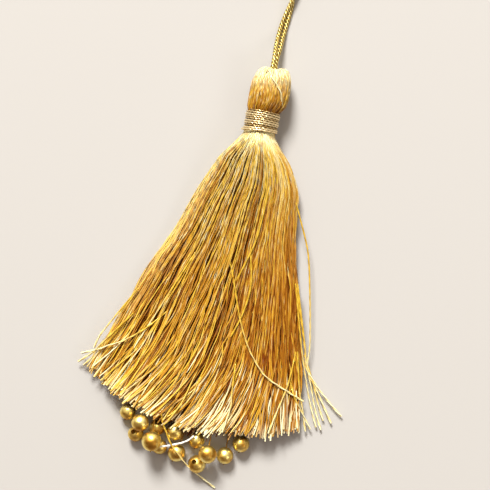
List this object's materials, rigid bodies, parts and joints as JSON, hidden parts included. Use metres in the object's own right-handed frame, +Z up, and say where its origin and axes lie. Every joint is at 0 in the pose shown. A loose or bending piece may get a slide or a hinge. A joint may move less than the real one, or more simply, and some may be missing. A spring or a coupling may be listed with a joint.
{
  "type": "silk tassel",
  "caption": "Gold silk tassel with a bound neck, a doubled cord loop and metal beads among its fanned cut ends.",
  "frame": {"origin": "middle of the underside of the tassel as it lies, without its cord loop", "axes": "+Z up from the surface that it lies on, +Y up the tassel from its cut ends to its loop"},
  "size_m": [0.065, 0.1562, 0.0095],
  "materials": {
    "gold_silk": "shiny twisted filament",
    "metallic_thread": "metallic thread",
    "metallic_cord": "twisted metallic cord",
    "bead_metal": "polished, a little dulled"
  },
  "bodies": {
    "root": {"silk_hank": "gold_silk", "neck_wrap": "metallic_thread", "hanger_loop": "metallic_cord", "bead_01": "bead_metal", "bead_02": "bead_metal", "bead_03": "bead_metal", "bead_04": "bead_metal", "bead_05": "bead_metal", "bead_06": "bead_metal", "bead_07": "bead_metal", "bead_08": "bead_metal", "bead_09": "bead_metal", "bead_10": "bead_metal", "bead_11": "bead_metal", "bead_12": "bead_metal", "bead_13": "bead_metal"}
  },
  "joints": []
}
